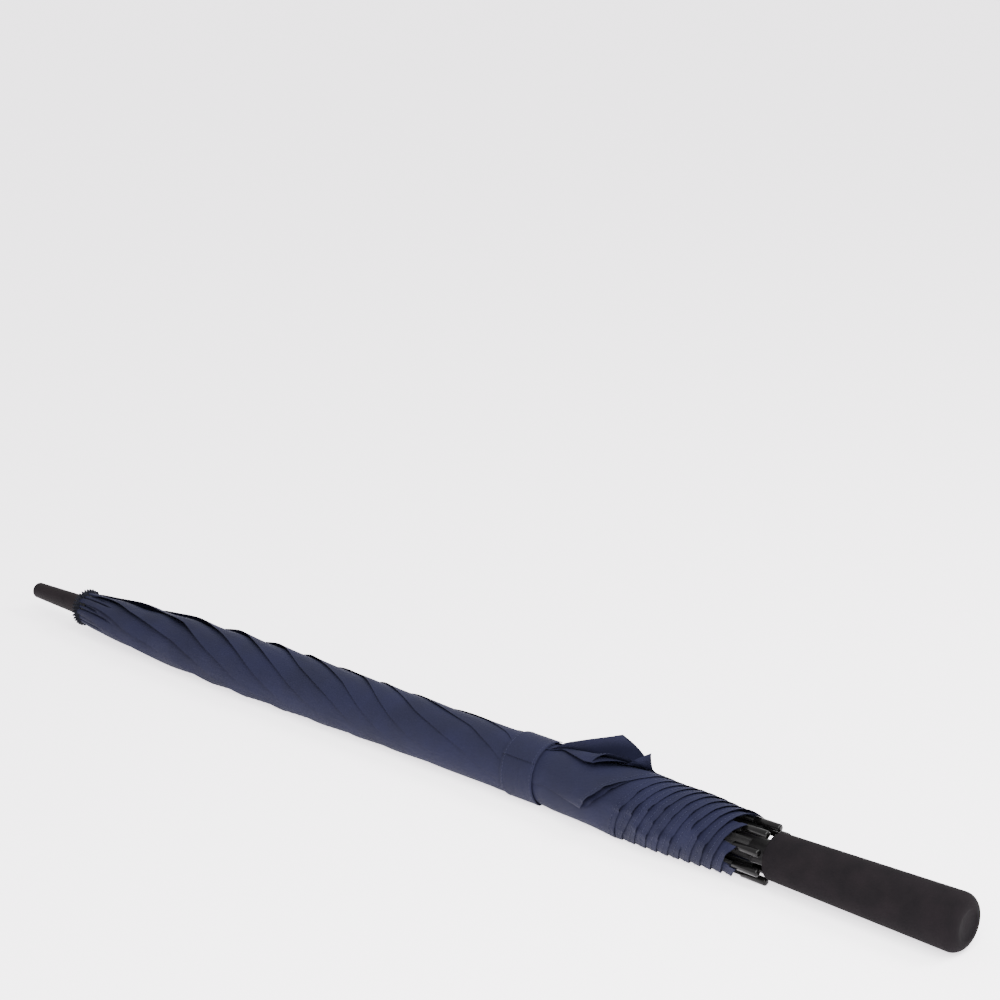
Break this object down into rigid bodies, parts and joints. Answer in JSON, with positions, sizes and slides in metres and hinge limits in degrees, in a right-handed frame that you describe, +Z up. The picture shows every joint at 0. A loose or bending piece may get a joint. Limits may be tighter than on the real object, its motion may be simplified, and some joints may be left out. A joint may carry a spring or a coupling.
{
  "type": "stick umbrella",
  "caption": "Long manual umbrella, rolled and strapped, with a straight foam grip; the runner slides up the shaft and swings the ribs and stretchers out to open it.",
  "frame": {"origin": "on the ground, under the middle of the umbrella as it lies on its side", "axes": "+X along the shaft towards the grip, +Z up, +Y across"},
  "size_m": [1, 0.069, 0.0635],
  "materials": {
    "canopy_cloth": "plain-woven navy polyester pongee with a dull sheen",
    "hook_and_loop": "black hook-and-loop tape",
    "grip_foam": "matt closed-cell EVA foam, skinned",
    "black_plastic": "moulded black nylon, satin",
    "ferrule_plastic": "moulded dark plastic, matt",
    "fibreglass": "pultruded glass fibre, black, smooth",
    "steel_wire": "bare spring steel"
  },
  "bodies": {
    "frame": {"shaft": "fibreglass", "ferrule": "ferrule_plastic", "grip_sleeve": "black_plastic", "grip_foam": "grip_foam", "notch": "black_plastic", "notch_wire": "steel_wire", "notch_pin": "steel_wire", "open_stop": "black_plastic", "rosette": "canopy_cloth"},
    "runner": {"runner": "black_plastic", "button_spring": "steel_wire"},
    "runner_button": {"runner_button": "black_plastic"},
    "rib_1": {"rib_1": "fibreglass", "rib_tip_1": "black_plastic", "rib_joint_1": "black_plastic"},
    "stretcher_1": {"stretcher_1": "fibreglass"},
    "gore_1": {"gore_1": "canopy_cloth"},
    "rib_2": {"rib_2": "fibreglass", "rib_tip_2": "black_plastic", "rib_joint_2": "black_plastic", "strap_band": "canopy_cloth", "strap_loop_pad": "hook_and_loop"},
    "stretcher_2": {"stretcher_2": "fibreglass"},
    "gore_2": {"gore_2": "canopy_cloth"},
    "rib_3": {"rib_3": "fibreglass", "rib_tip_3": "black_plastic", "rib_joint_3": "black_plastic"},
    "stretcher_3": {"stretcher_3": "fibreglass"},
    "gore_3": {"gore_3": "canopy_cloth"},
    "rib_4": {"rib_4": "fibreglass", "rib_tip_4": "black_plastic", "rib_joint_4": "black_plastic"},
    "stretcher_4": {"stretcher_4": "fibreglass"},
    "gore_4": {"gore_4": "canopy_cloth"},
    "rib_5": {"rib_5": "fibreglass", "rib_tip_5": "black_plastic", "rib_joint_5": "black_plastic"},
    "stretcher_5": {"stretcher_5": "fibreglass"},
    "gore_5": {"gore_5": "canopy_cloth"},
    "rib_6": {"rib_6": "fibreglass", "rib_tip_6": "black_plastic", "rib_joint_6": "black_plastic"},
    "stretcher_6": {"stretcher_6": "fibreglass"},
    "gore_6": {"gore_6": "canopy_cloth"},
    "rib_7": {"rib_7": "fibreglass", "rib_tip_7": "black_plastic", "rib_joint_7": "black_plastic"},
    "stretcher_7": {"stretcher_7": "fibreglass"},
    "gore_7": {"gore_7": "canopy_cloth"},
    "rib_8": {"rib_8": "fibreglass", "rib_tip_8": "black_plastic", "rib_joint_8": "black_plastic"},
    "stretcher_8": {"stretcher_8": "fibreglass"},
    "gore_8": {"gore_8": "canopy_cloth"},
    "strap_tab": {"strap_tab": "canopy_cloth", "strap_hook_pad": "hook_and_loop"}
  },
  "joints": [
    {"name": "runner_slide", "type": "slide", "parent": "frame", "child": "runner", "axis": [-1, 0, 0], "range_m": [0, 0.41291]},
    {"name": "button_press", "type": "slide", "parent": "runner", "child": "runner_button", "axis": [0, 0, -1], "range_m": [0, 0.0012], "stiffness_N_per_m": 900, "deforming": ["button_spring"]},
    {"name": "rib_1_hinge", "type": "hinge", "parent": "frame", "child": "rib_1", "pos_m": [-0.4212, 0.01016, 0.02521], "axis": [0, -0.3827, 0.9239], "range_deg": [0, 66.01]},
    {"name": "stretcher_1_hinge", "type": "hinge", "parent": "rib_1", "child": "stretcher_1", "pos_m": [-0.0732, 0.01016, 0.02521], "axis": [0, 0.3827, -0.9239], "range_deg": [0, 132.02]},
    {"name": "gore_1_spread", "type": "hinge", "parent": "rib_1", "child": "gore_1", "pos_m": [-0.4212, 0.00842, 0.02942], "axis": [-0.5145, -0.6063, -0.6063], "range_deg": [0, 48.13], "deforming": ["gore_1"]},
    {"name": "rib_2_hinge", "type": "hinge", "parent": "frame", "child": "rib_2", "pos_m": [-0.4212, 0.00421, 0.03116], "axis": [0, -0.9239, 0.3827], "range_deg": [0, 66.01]},
    {"name": "stretcher_2_hinge", "type": "hinge", "parent": "rib_2", "child": "stretcher_2", "pos_m": [-0.0732, 0.00421, 0.03116], "axis": [0, 0.9239, -0.3827], "range_deg": [0, 132.02]},
    {"name": "gore_2_spread", "type": "hinge", "parent": "rib_2", "child": "gore_2", "pos_m": [-0.4212, 0, 0.03291], "axis": [-0.5145, 0, -0.8575], "range_deg": [0, 48.13], "deforming": ["gore_2"]},
    {"name": "rib_3_hinge", "type": "hinge", "parent": "frame", "child": "rib_3", "pos_m": [-0.4212, -0.00421, 0.03116], "axis": [0, -0.9239, -0.3827], "range_deg": [0, 66.01]},
    {"name": "stretcher_3_hinge", "type": "hinge", "parent": "rib_3", "child": "stretcher_3", "pos_m": [-0.0732, -0.00421, 0.03116], "axis": [0, 0.9239, 0.3827], "range_deg": [0, 132.02]},
    {"name": "gore_3_spread", "type": "hinge", "parent": "rib_3", "child": "gore_3", "pos_m": [-0.4212, -0.00842, 0.02942], "axis": [-0.5145, 0.6063, -0.6063], "range_deg": [0, 48.13], "deforming": ["gore_3"]},
    {"name": "rib_4_hinge", "type": "hinge", "parent": "frame", "child": "rib_4", "pos_m": [-0.4212, -0.01016, 0.02521], "axis": [0, -0.3827, -0.9239], "range_deg": [0, 66.01]},
    {"name": "stretcher_4_hinge", "type": "hinge", "parent": "rib_4", "child": "stretcher_4", "pos_m": [-0.0732, -0.01016, 0.02521], "axis": [0, 0.3827, 0.9239], "range_deg": [0, 132.02]},
    {"name": "gore_4_spread", "type": "hinge", "parent": "rib_4", "child": "gore_4", "pos_m": [-0.4212, -0.01191, 0.021], "axis": [-0.5145, 0.8575, 0], "range_deg": [0, 48.13], "deforming": ["gore_4"]},
    {"name": "rib_5_hinge", "type": "hinge", "parent": "frame", "child": "rib_5", "pos_m": [-0.4212, -0.01016, 0.01679], "axis": [0, 0.3827, -0.9239], "range_deg": [0, 66.01]},
    {"name": "stretcher_5_hinge", "type": "hinge", "parent": "rib_5", "child": "stretcher_5", "pos_m": [-0.0732, -0.01016, 0.01679], "axis": [0, -0.3827, 0.9239], "range_deg": [0, 132.02]},
    {"name": "gore_5_spread", "type": "hinge", "parent": "rib_5", "child": "gore_5", "pos_m": [-0.4212, -0.00842, 0.01258], "axis": [-0.5145, 0.6063, 0.6063], "range_deg": [0, 48.13], "deforming": ["gore_5"]},
    {"name": "rib_6_hinge", "type": "hinge", "parent": "frame", "child": "rib_6", "pos_m": [-0.4212, -0.00421, 0.01084], "axis": [0, 0.9239, -0.3827], "range_deg": [0, 66.01]},
    {"name": "stretcher_6_hinge", "type": "hinge", "parent": "rib_6", "child": "stretcher_6", "pos_m": [-0.0732, -0.00421, 0.01084], "axis": [0, -0.9239, 0.3827], "range_deg": [0, 132.02]},
    {"name": "gore_6_spread", "type": "hinge", "parent": "rib_6", "child": "gore_6", "pos_m": [-0.4212, 0, 0.00909], "axis": [-0.5145, 0, 0.8575], "range_deg": [0, 48.13], "deforming": ["gore_6"]},
    {"name": "rib_7_hinge", "type": "hinge", "parent": "frame", "child": "rib_7", "pos_m": [-0.4212, 0.00421, 0.01084], "axis": [0, 0.9239, 0.3827], "range_deg": [0, 66.01]},
    {"name": "stretcher_7_hinge", "type": "hinge", "parent": "rib_7", "child": "stretcher_7", "pos_m": [-0.0732, 0.00421, 0.01084], "axis": [0, -0.9239, -0.3827], "range_deg": [0, 132.02]},
    {"name": "gore_7_spread", "type": "hinge", "parent": "rib_7", "child": "gore_7", "pos_m": [-0.4212, 0.00842, 0.01258], "axis": [-0.5145, -0.6063, 0.6063], "range_deg": [0, 48.13], "deforming": ["gore_7"]},
    {"name": "rib_8_hinge", "type": "hinge", "parent": "frame", "child": "rib_8", "pos_m": [-0.4212, 0.01016, 0.01679], "axis": [0, 0.3827, 0.9239], "range_deg": [0, 66.01]},
    {"name": "stretcher_8_hinge", "type": "hinge", "parent": "rib_8", "child": "stretcher_8", "pos_m": [-0.0732, 0.01016, 0.01679], "axis": [0, -0.3827, -0.9239], "range_deg": [0, 132.02]},
    {"name": "gore_8_spread", "type": "hinge", "parent": "rib_8", "child": "gore_8", "pos_m": [-0.4212, 0.01191, 0.021], "axis": [-0.5145, -0.8575, 0], "range_deg": [0, 48.13], "deforming": ["gore_8"]},
    {"name": "strap_tab_peel", "type": "hinge", "parent": "rib_2", "child": "strap_tab", "pos_m": [0.1193, 0.01095, 0.04559], "axis": [-1, 0, 0], "range_deg": [0, 120], "deforming": ["strap_tab", "strap_hook_pad", "strap_band", "strap_loop_pad"]}
  ],
  "couplings": [
    {"joint": "rib_1_hinge", "follows": "runner_slide", "rad_per_m": 2.7897},
    {"joint": "stretcher_1_hinge", "follows": "runner_slide", "rad_per_m": 5.5795},
    {"joint": "gore_1_spread", "follows": "runner_slide", "rad_per_m": 2.034},
    {"joint": "rib_2_hinge", "follows": "runner_slide", "rad_per_m": 2.7897},
    {"joint": "stretcher_2_hinge", "follows": "runner_slide", "rad_per_m": 5.5795},
    {"joint": "gore_2_spread", "follows": "runner_slide", "rad_per_m": 2.034},
    {"joint": "rib_3_hinge", "follows": "runner_slide", "rad_per_m": 2.7897},
    {"joint": "stretcher_3_hinge", "follows": "runner_slide", "rad_per_m": 5.5795},
    {"joint": "gore_3_spread", "follows": "runner_slide", "rad_per_m": 2.034},
    {"joint": "rib_4_hinge", "follows": "runner_slide", "rad_per_m": 2.7897},
    {"joint": "stretcher_4_hinge", "follows": "runner_slide", "rad_per_m": 5.5795},
    {"joint": "gore_4_spread", "follows": "runner_slide", "rad_per_m": 2.034},
    {"joint": "rib_5_hinge", "follows": "runner_slide", "rad_per_m": 2.7897},
    {"joint": "stretcher_5_hinge", "follows": "runner_slide", "rad_per_m": 5.5795},
    {"joint": "gore_5_spread", "follows": "runner_slide", "rad_per_m": 2.034},
    {"joint": "rib_6_hinge", "follows": "runner_slide", "rad_per_m": 2.7897},
    {"joint": "stretcher_6_hinge", "follows": "runner_slide", "rad_per_m": 5.5795},
    {"joint": "gore_6_spread", "follows": "runner_slide", "rad_per_m": 2.034},
    {"joint": "rib_7_hinge", "follows": "runner_slide", "rad_per_m": 2.7897},
    {"joint": "stretcher_7_hinge", "follows": "runner_slide", "rad_per_m": 5.5795},
    {"joint": "gore_7_spread", "follows": "runner_slide", "rad_per_m": 2.034},
    {"joint": "rib_8_hinge", "follows": "runner_slide", "rad_per_m": 2.7897},
    {"joint": "stretcher_8_hinge", "follows": "runner_slide", "rad_per_m": 5.5795},
    {"joint": "gore_8_spread", "follows": "runner_slide", "rad_per_m": 2.034}
  ]
}
